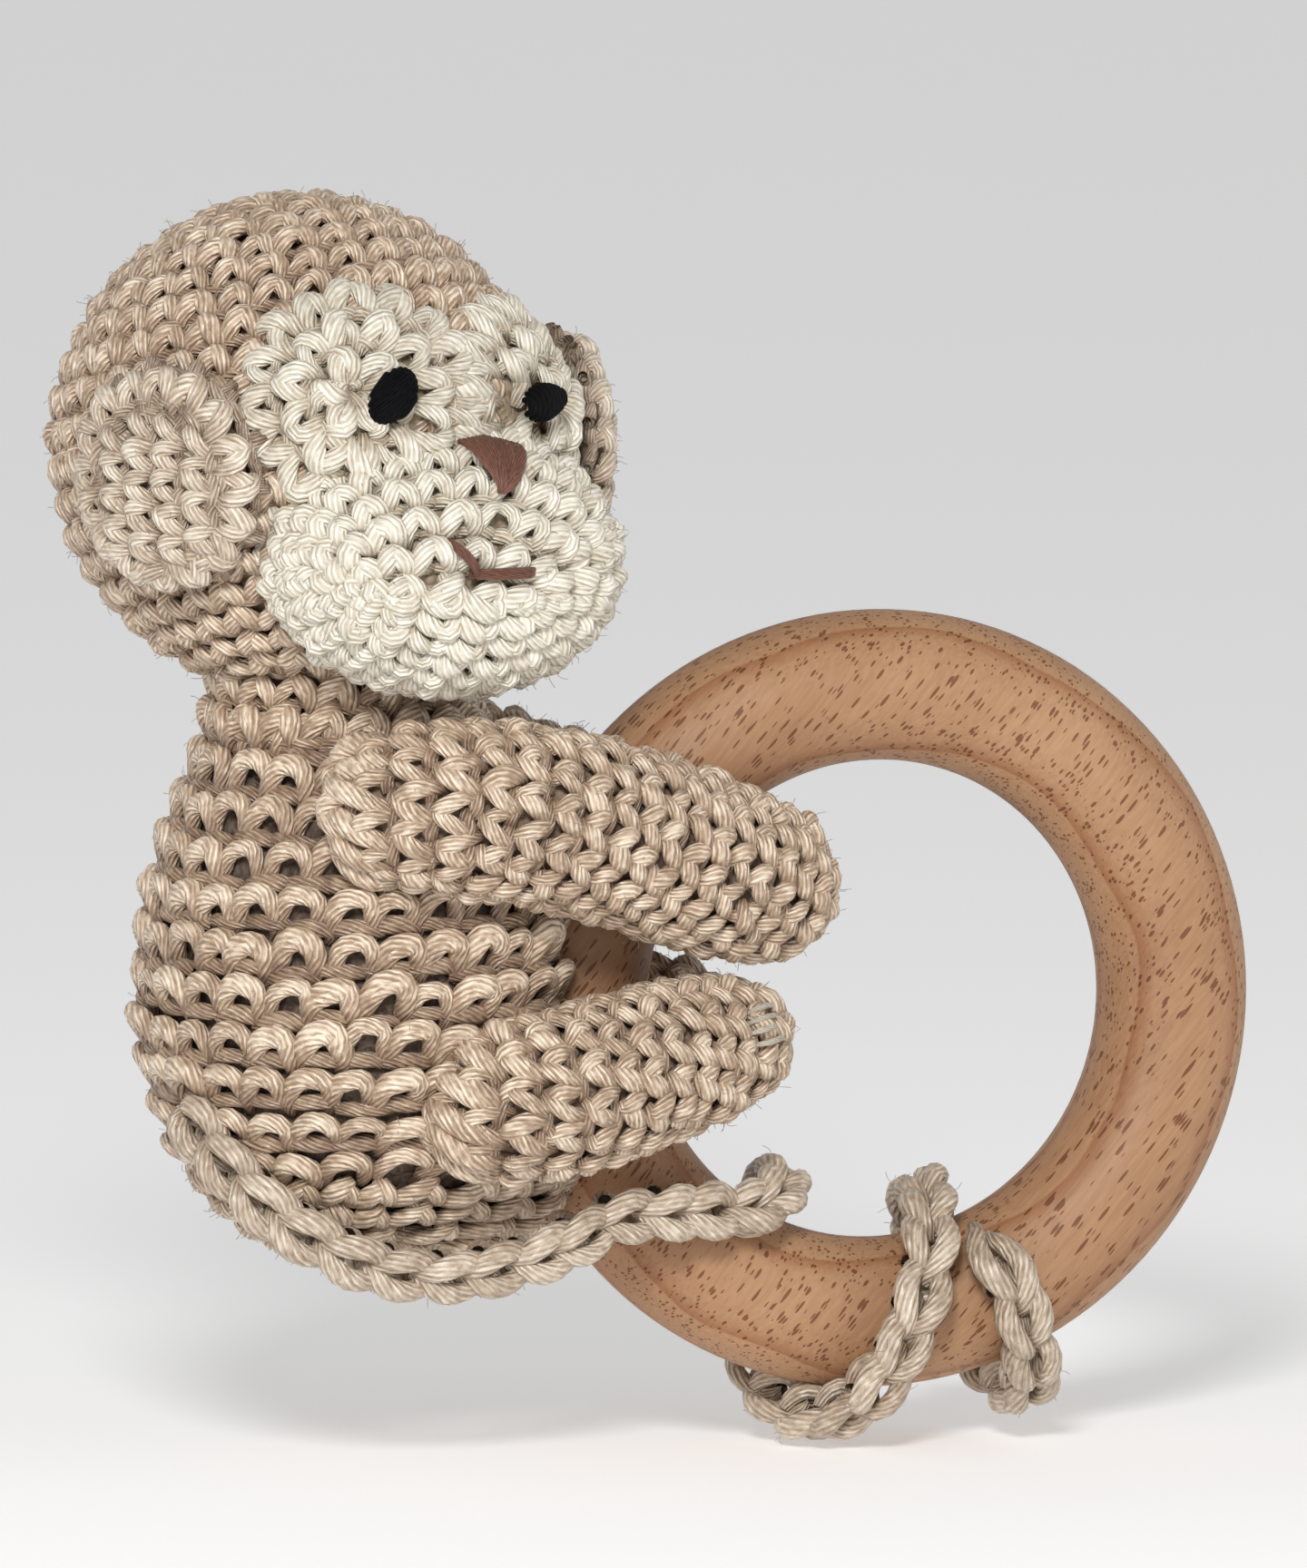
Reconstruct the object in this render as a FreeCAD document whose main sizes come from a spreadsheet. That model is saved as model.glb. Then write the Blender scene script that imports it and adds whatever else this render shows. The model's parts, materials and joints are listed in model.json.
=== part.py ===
import FreeCAD, Part
import Sketcher
import math
import os
from FreeCAD import Placement, Rotation, Vector

# A stuffed, crocheted monkey that hugs a beech teething ring.
# Millimetres. Origin: the ring's centre. +Y is the ring's axis, +Z is up, and the monkey
# sits on the ring's -X side with its belly pressed against the ring.

doc = FreeCAD.newDocument("rattle")
sheet = doc.addObject("Spreadsheet::Sheet", "dimensions")

SIZES = {
    # beech ring
    "ring_radius": 28.25, "ring_tube": 6.75,
    # fabric: one crochet layer, and the gap that it keeps from the wood
    "wall": 2.6, "limb_wall": 2.0, "wood_gap": 0.4,
    # pear-shaped body: the waist is where the lower and upper halves meet
    "body_x": -48.6, "waist_z": 1.0, "body_width": 20.3, "body_drop": 24.0, "body_rise": 33.1,
    "body_top": 26.2,
    # head ball and the neck that it turns on
    "head_x": -53.3, "head_z": 51.7, "head_radius": 22.4, "head_cut_z": 31.0,
    "neck_x": -49.8, "neck_z": 28.6, "neck_ball": 7.5, "neck_gap": 0.3,
    "neck_seam_ring": 9.0, "neck_seam_cord": 0.7,
    # where the face looks, from -Y towards +X, and its sideways tilt
    "face_yaw": 26.3, "face_tilt": -5.8,
    # muzzle: an oval cap on the lower face
    "muzzle_out": 16.5, "muzzle_down": -9.2, "muzzle_half_width": 19.5, "muzzle_half_height": 12.4,
    "muzzle_depth": 11.5,
    # brow: two lobes side by side above the muzzle
    "brow_angle": 26.0, "brow_up": 14.0, "brow_out": 20.5, "brow_half_width": 11.5,
    "brow_half_height": 10.5, "brow_depth": 4.0,
    # ears
    "ear_angle": 73.0, "ear_up": -5.0, "ear_out": 22.6, "ear_half_width": 8.4,
    "ear_half_height": 10.0, "ear_depth": 3.6,
    # embroidery
    "eye_angle": 23.0, "eye_up": 13.0, "eye_out": 23.9, "eye_half_width": 1.85,
    "eye_half_height": 2.45, "eye_depth": 1.2,
    "nose_width": 4.9, "nose_height": 4.6, "nose_depth": 1.2, "nose_out": 24.4, "nose_up": -1.0,
    "mouth_length": 4.4, "mouth_radius": 0.6, "mouth_out": 28.1, "mouth_down": -9.0,
    "mouth_lift": 0.25, "mouth_wrap": 0.15,
    # hands and feet are sewn together through the ring
    "knot_radius": 2.4, "knot_half_length": 0.9,
    # rattle capsule and its beads
    "capsule_x": -51.5, "capsule_z": -2.0, "capsule_radius": 8.5, "capsule_wall": 1.2,
    "bead_radius": 1.8, "bead_circle": 2.2, "bead_gap": 0.1,
    # tail cord
    "cord_radius": 2.45, "cord_gap": 0.35, "tip_radius": 1.6,
}

# Limb stations from the seam to the tip: x, distance from the mid plane, z, section radius.
ARM = [(-54.6, 15.5, 19.6, 3.0), (-51.5, 17.8, 19.9, 6.6), (-46.5, 20.3, 20.3, 7.9),
       (-38, 20.0, 19.6, 8.0), (-28, 15.6, 17.2, 8.0), (-18.5, 11.5, 14.0, 7.8),
       (-11, 7.6, 11.4, 6.6), (-6.6, 5.4, 11.4, 2.8)]
LEG = [(-45.5, 15.5, -6.5, 2.8), (-42.5, 17.8, -6.6, 6.2), (-37.5, 19.0, -6.5, 7.5),
       (-28, 15.5, -4.4, 7.5), (-18, 9.8, -2.9, 6.7), (-13, 6.5, -2.0, 5.4), (-10.6, 4.8, -1.8, 2.2)]

LETTERS = "abcdefgh"

# The tail's free stretch, from its root on the back under the seat to the ring's front.
TAIL_START = [(-66.5, -5.5, -8.5), (-63.5, -11.0, -16.0), (-56.0, -13.2, -21.8), (-45.5, -11.8, -25.0),
              (-34.5, -10.8, -22.8), (-24.0, -9.9, -17.6)]
# Corners of its turns round the ring: place on the ring in degrees, outer or inner side (+1, -1)
# and back or front (+1, -1).
TAIL_TURNS = [(238, -1, -1), (243, -1, 1), (261, 1, 1), (263.5, 1, -1), (284, -1, -1), (287, -1, 1),
              (291, 1, 1), (292, 1, -1)]
TAIL_END = (288.0, -5.5)


def write_cells(values):
    for row, (alias, value) in enumerate(values.items(), start=1):
        sheet.set("A%d" % row, alias)
        sheet.set("B%d" % row, str(value))
        sheet.setAlias("B%d" % row, alias)


def limb_cells(prefix, stations):
    cells = {}
    for letter, station in zip(LETTERS, stations):
        for key, value in zip(("along", "side", "height", "radius"), station):
            cells["%s_%s_%s" % (prefix, key, letter)] = value
    return cells


SIZES.update(limb_cells("arm", ARM))
SIZES.update(limb_cells("leg", LEG))
write_cells(SIZES)
doc.recompute()


def size(alias):
    return float(sheet.get(alias))


def bind(item, **expressions):
    for name, expression in expressions.items():
        for alias in sorted(SIZES, key=len, reverse=True):
            expression = expression.replace("{%s}" % alias, "dimensions." + alias)
        item.setExpression(name, expression)
    return item


def primitive(kind, name, **expressions):
    return bind(doc.addObject("Part::" + kind, name), **expressions)


def cut(name, base, *tools):
    for number, tool in enumerate(tools):
        last = number == len(tools) - 1
        step = doc.addObject("Part::Cut", name if last else "%s_cut%d" % (name, number))
        step.Base = base
        step.Tool = tool
        base = step
    return base


def join(kind, name, first, second):
    item = doc.addObject("Part::" + kind, name)
    if kind == "Common":
        item.Base, item.Tool = first, second
    else:
        item.Shapes = [first, second]
    return item


# ---------------------------------------------------------------- shared shapes

def torus(name, tube):
    item = primitive("Torus", name, Radius1="{ring_radius}", Radius2=tube)
    item.Placement = Placement(Vector(), Rotation(Vector(1, 0, 0), 90))
    return item


def ball(name, x, z, radius):
    item = primitive("Sphere", name, Radius=radius)
    item.Placement = Placement(Vector(x, 0, z), Rotation())
    return item


def half_space(name, z, above):
    """A block that fills everything above or below a level."""
    block = doc.addObject("Part::Box", name)
    block.Length = block.Width = block.Height = 200
    block.Placement = Placement(Vector(-150, -100, z if above else z - 200), Rotation())
    return block


def pear(name, inset, open_top):
    """The body's outline: a lower and an upper half ellipsoid, the upper one cut level."""
    rise = "({body_rise} - %s)" % inset
    top = "90" if open_top else "asin({body_top} / {body_rise})"
    halves = []
    for part, angles, height in (("low", ("-90", "0"), "({body_drop} - %s)" % inset),
                                 ("high", ("0", top), rise)):
        half = primitive("Ellipsoid", "%s_%s" % (name, part), Radius1=height,
                         Radius2="{body_width} - " + inset, Radius3="{body_width} - " + inset,
                         Angle1=angles[0], Angle2=angles[1])
        half.Placement = Placement(Vector(size("body_x"), 0, size("waist_z")), Rotation())
        halves.append(half)
    return join("MultiFuse", name, *halves)


def origin_plane(body, role):
    return next(item for item in body.Origin.OriginFeatures if item.Role == role)


def circle_sketch(body, name, role, radius, across, up, offset=None):
    sketch = body.newObject("Sketcher::SketchObject", name)
    sketch.AttachmentSupport = [(origin_plane(body, role), "")]
    sketch.MapMode = "FlatFace"
    if offset:
        bind(sketch, **{"AttachmentOffset.Base.z": offset})
    sketch.addGeometry(Part.Circle(Vector(1, 1, 0), Vector(0, 0, 1), 2), False)
    for kind, names, value in (("Radius", (0,), radius), ("DistanceX", (-1, 1, 0, 3), across),
                               ("DistanceY", (-1, 1, 0, 3), up)):
        index = sketch.addConstraint(Sketcher.Constraint(kind, *names, 1.0))
        bind(sketch, **{"Constraints[%d]" % index: value})
    return sketch


def limb(name, prefix, letters, side, inset):
    """A tapering stuffed tube lofted through round sections along X."""
    body = doc.addObject("PartDesign::Body", name)
    sections = []
    for letter in letters:
        cells = {key: "{%s_%s_%s}" % (prefix, key, letter)
                 for key in ("along", "side", "height", "radius")}
        sections.append(circle_sketch(body, "%s_section_%s" % (name, letter), "YZ_Plane",
                                      "%s - %s" % (cells["radius"], inset),
                                      "%d * %s" % (side, cells["side"]), cells["height"],
                                      cells["along"]))
    loft = body.newObject("PartDesign::AdditiveLoft", name + "_loft")
    loft.Profile = sections[0]
    loft.Sections = sections[1:]
    loft.Ruled = False
    return body


# ---------------------------------------------------------------- the ring

ring = doc.addObject("PartDesign::Body", "wood_ring")
ring_section = circle_sketch(ring, "ring_section", "XY_Plane", "{ring_tube}", "{ring_radius}", "0")
ring_turn = ring.newObject("PartDesign::Revolution", "ring_sweep")
ring_turn.Profile = ring_section
ring_turn.ReferenceAxis = (ring_section, ["V_Axis"])
ring_turn.Angle = 360

wood_clear = torus("wood_clear", "{ring_tube} + {wood_gap}")
wood_padded = torus("wood_padded", "{ring_tube} + {wood_gap} + {wall}")

# ---------------------------------------------------------------- body

neck_hollow = ball("neck_hollow", size("neck_x"), size("neck_z"), "{neck_ball} + {neck_gap}")
body_outer = pear("body_outer", "0", False)
body_inner = pear("body_inner", "{wall}", True)
body_room = cut("body_room", body_inner, wood_padded)
cut("body_shell", body_outer, wood_clear, body_room, neck_hollow)

capsule_outer = ball("capsule_outer", size("capsule_x"), size("capsule_z"), "{capsule_radius}")
capsule_inner = ball("capsule_inner", size("capsule_x"), size("capsule_z"),
                     "{capsule_radius} - {capsule_wall}")
body_fill = join("Common", "body_fill", body_room, body_outer)
for half, above in (("lower", True), ("upper", False)):
    other_half = half_space("beyond_%s" % half, size("capsule_z"), above)
    cut("capsule_" + half, capsule_outer, capsule_inner, other_half)
    cut("body_stuffing_" + half, body_fill, capsule_outer, neck_hollow, other_half)

bead_reach = size("capsule_radius") - size("capsule_wall") - size("bead_radius") - size("bead_gap")
bead_drop = math.sqrt(bead_reach ** 2 - size("bead_circle") ** 2)
for number in range(3):
    turn = math.radians(90 + 120 * number)
    bead = primitive("Sphere", "rattle_bead_%d" % (number + 1), Radius="{bead_radius}")
    bead.Placement = Placement(Vector(size("capsule_x") + size("bead_circle") * math.cos(turn),
                                      size("bead_circle") * math.sin(turn),
                                      size("capsule_z") - bead_drop), Rotation())

# ---------------------------------------------------------------- neck

ball("neck_stuffing", size("neck_x"), size("neck_z"), "{neck_ball}")
neck_seam = primitive("Torus", "neck_seam", Radius1="{neck_seam_ring}", Radius2="{neck_seam_cord}")
neck_seam.Placement = Placement(Vector(size("neck_x"), 0, size("neck_z")), Rotation())

# ---------------------------------------------------------------- head and face

yaw = math.radians(size("face_yaw"))
FACING = Vector(math.sin(yaw), -math.cos(yaw), 0)
LEFTWARD = Vector(math.cos(yaw), math.sin(yaw), 0)
HEAD = Vector(size("head_x"), 0, size("head_z"))
FACE = Rotation(FACING, size("face_tilt")).multiply(Rotation(LEFTWARD, Vector(0, 0, 1), FACING, "ZXY"))


def face_place(angle, up, out):
    """Local Z points out of the head at an angle to the face's middle and a height angle."""
    turned = FACE.multiply(Rotation(Vector(0, 1, 0), angle)).multiply(Rotation(Vector(1, 0, 0), -up))
    return Placement(HEAD + turned.multVec(Vector(0, 0, out)), turned)


def face_pad(name, place, depth, half_width, half_height):
    pad = primitive("Ellipsoid", name, Radius1=depth, Radius2=half_width, Radius3=half_height,
                    Angle1="-90", Angle2="90")
    pad.Placement = place
    return pad


head_outer = ball("head_outer", HEAD.x, HEAD.z, "{head_radius}")
head_inner = ball("head_inner", HEAD.x, HEAD.z, "{head_radius} - {wall}")
below_head = half_space("below_head", size("head_cut_z"), False)
cut("head_shell", head_outer, head_inner, below_head, neck_hollow)
cut("head_stuffing", head_inner, below_head, neck_hollow)

muzzle_place = Placement(HEAD + FACE.multVec(Vector(0, size("muzzle_down"), size("muzzle_out"))), FACE)
muzzle_outer = face_pad("muzzle_outer", muzzle_place, "{muzzle_depth}", "{muzzle_half_width}",
                        "{muzzle_half_height}")
muzzle_inner = face_pad("muzzle_inner", muzzle_place, "{muzzle_depth} - {wall}",
                        "{muzzle_half_width} - {wall}", "{muzzle_half_height} - {wall}")
cut("muzzle_shell", muzzle_outer, muzzle_inner, head_outer)
cut("muzzle_stuffing", muzzle_inner, head_outer)

brows = []
for label, side in (("right", -1), ("left", 1)):
    lobe = face_pad("brow_lobe_" + label,
                    face_place(side * size("brow_angle"), size("brow_up"), size("brow_out")),
                    "{brow_depth}", "{brow_half_width}", "{brow_half_height}")
    brows.append(lobe)
brow_pair = join("MultiFuse", "brow_pair", *brows)
cut("brow_patch", brow_pair, head_outer, muzzle_outer)

for label, side in (("right", -1), ("left", 1)):
    ear = face_pad("ear_pad_" + label,
                   face_place(side * size("ear_angle"), size("ear_up"), size("ear_out")),
                   "{ear_depth}", "{ear_half_width}", "{ear_half_height}")
    cut("ear_" + label, ear, head_outer, muzzle_outer, brow_pair)
    eye = face_pad("eye_pad_" + label,
                   face_place(side * size("eye_angle"), size("eye_up"), size("eye_out")),
                   "{eye_depth}", "{eye_half_width}", "{eye_half_height}")
    cut("eye_" + label, eye, brow_pair, head_outer)


def nose_body():
    """An upside-down triangle of satin stitches."""
    body = doc.addObject("PartDesign::Body", "nose_pad")
    sketch = body.newObject("Sketcher::SketchObject", "nose_outline")
    sketch.AttachmentSupport = [(origin_plane(body, "XY_Plane"), "")]
    sketch.MapMode = "FlatFace"
    corners = [Vector(-2, 2, 0), Vector(2, 2, 0), Vector(0, -2, 0)]
    for start, end in zip(corners, corners[1:] + corners[:1]):
        sketch.addGeometry(Part.LineSegment(start, end), False)
    for first in range(3):
        sketch.addConstraint(Sketcher.Constraint("Coincident", first, 2, (first + 1) % 3, 1))
    sketch.addConstraint(Sketcher.Constraint("Symmetric", 0, 1, 0, 2, -2))
    sketch.addConstraint(Sketcher.Constraint("PointOnObject", 2, 1, -2))
    for kind, names, value in (("DistanceX", (0, 1, 0, 2), "{nose_width}"),
                               ("DistanceY", (-1, 1, 0, 1), "{nose_height} / 2"),
                               ("DistanceY", (2, 1, 0, 1), "{nose_height}")):
        index = sketch.addConstraint(Sketcher.Constraint(kind, *names, 3.0))
        bind(sketch, **{"Constraints[%d]" % index: value})
    pad = body.newObject("PartDesign::Pad", "nose_thickness")
    pad.Profile = sketch
    bind(pad, Length="{nose_depth}")
    body.Placement = face_place(0, size("nose_up"), size("nose_out"))
    return body


cut("nose_stitches", nose_body(), muzzle_outer, brow_pair)

mouth_middle = HEAD + FACE.multVec(Vector(0, size("mouth_down"), size("mouth_out")))
mouth_strokes = []
for label, side in (("right", -1), ("left", 1)):
    stroke = primitive("Cylinder", "mouth_stroke_" + label, Radius="{mouth_radius}",
                       Height="{mouth_length}")
    outward = FACE.multVec(Vector(side, size("mouth_lift"), -size("mouth_wrap")))
    stroke.Placement = Placement(mouth_middle, Rotation(Vector(0, 0, 1), outward))
    mouth_strokes.append(stroke)
cut("mouth_stitches", join("MultiFuse", "mouth_pair", *mouth_strokes), muzzle_outer)

# ---------------------------------------------------------------- arms and legs

for prefix, stations in (("arm", ARM), ("leg", LEG)):
    for label, side in (("right", -1), ("left", 1)):
        name = "%s_%s" % (prefix, label)
        letters = LETTERS[:len(stations)]
        outer = limb(name + "_outer", prefix, letters, side, "0")
        inner = limb(name + "_inner", prefix, letters[1:-1], side, "{limb_wall}")
        filling = cut(name + "_stuffing", inner, wood_padded, body_outer)
        cut(name + "_shell", outer, wood_clear, body_outer, filling)

for knot, prefix, stations in (("hand_knot", "arm", ARM), ("foot_knot", "leg", LEG)):
    along, _, height, _ = stations[-2]
    stitches = primitive("Cylinder", knot + "_yarn", Radius="{knot_radius}",
                         Height="2 * {knot_half_length}")
    stitches.Placement = Placement(Vector(along, size("knot_half_length"), height),
                                   Rotation(Vector(1, 0, 0), 90))
    tips = [doc.getObject("%s_%s_outer" % (prefix, label)) for label in ("right", "left")]
    cut(knot, stitches, *tips)

# ---------------------------------------------------------------- tail


def wound(degrees, outward, backward):
    """A corner of the tail's path, on a square that stands round the ring's section."""
    reach = size("ring_tube") + size("cord_gap") + size("cord_radius")
    radius = size("ring_radius") + outward * reach
    turn = math.radians(degrees)
    return Vector(radius * math.cos(turn), backward * reach, radius * math.sin(turn))


def rounded_path(corners):
    """Straight runs joined by tangent arcs, each as large as its two runs allow."""
    edges = []
    start = corners[0]
    for before, corner, after in zip(corners, corners[1:], corners[2:]):
        back = (before - corner).normalize()
        ahead = (after - corner).normalize()
        half_turn = (math.pi - back.getAngle(ahead)) / 2
        reach = 0.45 * min((before - corner).Length, (after - corner).Length)
        radius = reach / math.tan(half_turn)
        middle = (back + ahead).normalize()
        bulge = corner + middle * (radius / math.cos(half_turn) - radius)
        enter = corner + back * reach
        leave = corner + ahead * reach
        edges.append(Part.LineSegment(start, enter).toShape())
        edges.append(Part.Arc(enter, bulge, leave).toShape())
        print("tail bend radius %.1f mm" % radius)
        start = leave
    edges.append(Part.LineSegment(start, corners[-1]).toShape())
    return Part.Wire(edges)


end_degrees, end_outward = TAIL_END
end = wound(end_degrees, 0, -1)
end_turn = math.radians(end_degrees)
end += Vector(math.cos(end_turn), 0, math.sin(end_turn)) * end_outward
corners = [Vector(*point) for point in TAIL_START] + [wound(*turn) for turn in TAIL_TURNS] + [end]
path = rounded_path(corners)
cord_radius = size("cord_radius")
section = Part.Wire(Part.makeCircle(cord_radius, corners[0], corners[1] - corners[0]))
cord = doc.addObject("Part::Feature", "tail_cord")
cord.Shape = path.makePipeShell([section], True, False)
volume_share = cord.Shape.Volume / (math.pi * cord_radius ** 2 * path.Length)
print("tail length %.1f mm, volume share %.3f" % (path.Length, volume_share))
cut("tail", cord, body_outer)
knot = primitive("Sphere", "tip_ball", Radius="{tip_radius}")
knot.Placement = Placement(end, Rotation())
cut("tail_tip_knot", knot, cord)

# ---------------------------------------------------------------- checks and export

NODES = ["wood_ring", "body_shell", "body_stuffing_lower", "body_stuffing_upper", "capsule_lower",
         "capsule_upper", "rattle_bead_1", "rattle_bead_2", "rattle_bead_3", "neck_stuffing",
         "neck_seam", "head_shell", "head_stuffing", "muzzle_shell", "muzzle_stuffing", "brow_patch",
         "ear_right", "ear_left", "eye_right", "eye_left", "nose_stitches", "mouth_stitches",
         "arm_right_shell", "arm_right_stuffing", "arm_left_shell", "arm_left_stuffing",
         "leg_right_shell", "leg_right_stuffing", "leg_left_shell", "leg_left_stuffing",
         "hand_knot", "foot_knot", "tail", "tail_tip_knot"]

doc.recompute()
for item in doc.Objects:
    if "Invalid" in item.State or "Error" in item.State:
        raise RuntimeError("%s did not build: %s" % (item.Name, item.State))

os.makedirs("parts", exist_ok=True)
for node in NODES:
    item = doc.getObject(node)
    item.Label = node
    shape = item.Shape
    if shape.isNull() or not shape.isValid() or not shape.Solids:
        raise RuntimeError("%s is not a valid solid" % node)
    print("%-22s solids %d volume %9.1f" % (node, len(shape.Solids), shape.Volume))
for node in NODES:
    doc.getObject(node).Shape.exportStep("parts/%s.step" % node)
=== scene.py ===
import json
import math
import bpy
import numpy as np
from mathutils import Matrix, Vector


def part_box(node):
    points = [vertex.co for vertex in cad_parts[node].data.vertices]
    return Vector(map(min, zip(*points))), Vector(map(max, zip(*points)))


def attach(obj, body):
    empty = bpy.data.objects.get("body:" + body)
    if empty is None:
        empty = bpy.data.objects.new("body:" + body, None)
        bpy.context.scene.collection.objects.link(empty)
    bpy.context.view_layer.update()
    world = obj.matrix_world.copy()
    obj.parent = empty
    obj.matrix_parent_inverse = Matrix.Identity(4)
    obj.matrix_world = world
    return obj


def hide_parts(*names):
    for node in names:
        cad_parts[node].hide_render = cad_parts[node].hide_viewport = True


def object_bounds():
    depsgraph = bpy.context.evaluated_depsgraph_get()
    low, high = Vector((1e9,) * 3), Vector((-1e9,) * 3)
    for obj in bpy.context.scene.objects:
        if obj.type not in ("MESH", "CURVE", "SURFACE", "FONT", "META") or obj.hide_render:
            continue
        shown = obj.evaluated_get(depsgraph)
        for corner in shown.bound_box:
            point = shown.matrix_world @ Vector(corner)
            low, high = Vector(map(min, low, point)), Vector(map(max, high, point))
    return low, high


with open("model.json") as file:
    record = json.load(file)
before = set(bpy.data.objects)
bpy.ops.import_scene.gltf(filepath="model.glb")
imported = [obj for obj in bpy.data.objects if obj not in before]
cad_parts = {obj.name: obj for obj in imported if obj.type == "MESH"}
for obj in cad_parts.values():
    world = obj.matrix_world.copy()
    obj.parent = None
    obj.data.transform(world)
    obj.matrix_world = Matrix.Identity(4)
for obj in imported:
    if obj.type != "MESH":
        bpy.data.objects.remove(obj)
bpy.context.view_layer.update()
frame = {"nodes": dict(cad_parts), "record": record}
MM = 0.001
TAU = 2 * math.pi

# ------------------------------------------------------------------ places read from the frame


def box_mm(node):
    low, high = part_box(node)
    return np.array(low) / MM, np.array(high) / MM


def joint(name):
    return next(j for j in frame["record"]["behaviour"]["joints"] if j["name"] == name)


ring_low, ring_high = box_mm("wood_ring")
RING_TUBE = ring_high[1]
RING_RADIUS = ring_high[0] - RING_TUBE
NECK = np.array(joint("head_turn")["pos_m"]) / MM
LEFTWARD = np.array(joint("head_nod")["axis"])
FACING = np.cross(LEFTWARD, (0, 0, 1))
head_low, head_high = box_mm("head_shell")
HEAD_RADIUS = (head_high[0] - head_low[0]) / 2
HEAD = np.array([(head_low[0] + head_high[0]) / 2, 0, head_high[2] - HEAD_RADIUS])
body_low, body_high = box_mm("body_shell")
BODY_RADIUS = (body_high[1] - body_low[1]) / 2
BODY_X = body_low[0] + BODY_RADIUS
BODY_BOTTOM = body_low[2]
BODY_TOP = body_high[2]
WAIST = BODY_BOTTOM + 24.0

# ------------------------------------------------------------------ yarn as real strands

STEPS_PER_CONTROL = 1.5     # rings along a strand for each of its control points
AROUND = 10                 # points round a strand
PLIES = 10                  # threads twisted together in the yarn
PLY_SPACING = 1.0           # millimetres along the yarn from one thread to the next
FLATNESS = 0.88             # a strand's height as a share of its width
FUZZ_RADIUS = 0.028         # millimetres, like the reach of a loose fibre
FUZZ_REACH = (0.3, 0.9)
FUZZ_STRAY = (0.75, 0.7)    # how far a fibre's first and second half stray from straight out
FUZZ_DEPTH = 1.4            # loose fibres get as little painted shade as the tops of the stitches
FUZZ_AROUND, FUZZ_STEPS = 3, 5


def unit(v):
    return v / np.maximum(np.linalg.norm(v, axis=-1, keepdims=True), 1e-9)


def smooth_path(points, steps):
    """Cubic B-spline through the control points of many strands at once, ends clamped."""
    first = 2 * points[:, :1] - points[:, 1:2]
    last = 2 * points[:, -1:] - points[:, -2:-1]
    padded = np.concatenate([first, points, last], axis=1)
    spans = points.shape[1] - 1
    out = []
    for t in np.linspace(0, spans, steps):
        k = min(int(t), spans - 1)
        u = t - k
        weights = ((1 - u) ** 3 / 6, (3 * u ** 3 - 6 * u ** 2 + 4) / 6,
                   (-3 * u ** 3 + 3 * u ** 2 + 3 * u + 1) / 6, u ** 3 / 6)
        out.append(sum(w * padded[:, k + i] for i, w in enumerate(weights)))
    return np.stack(out, axis=1)


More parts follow.
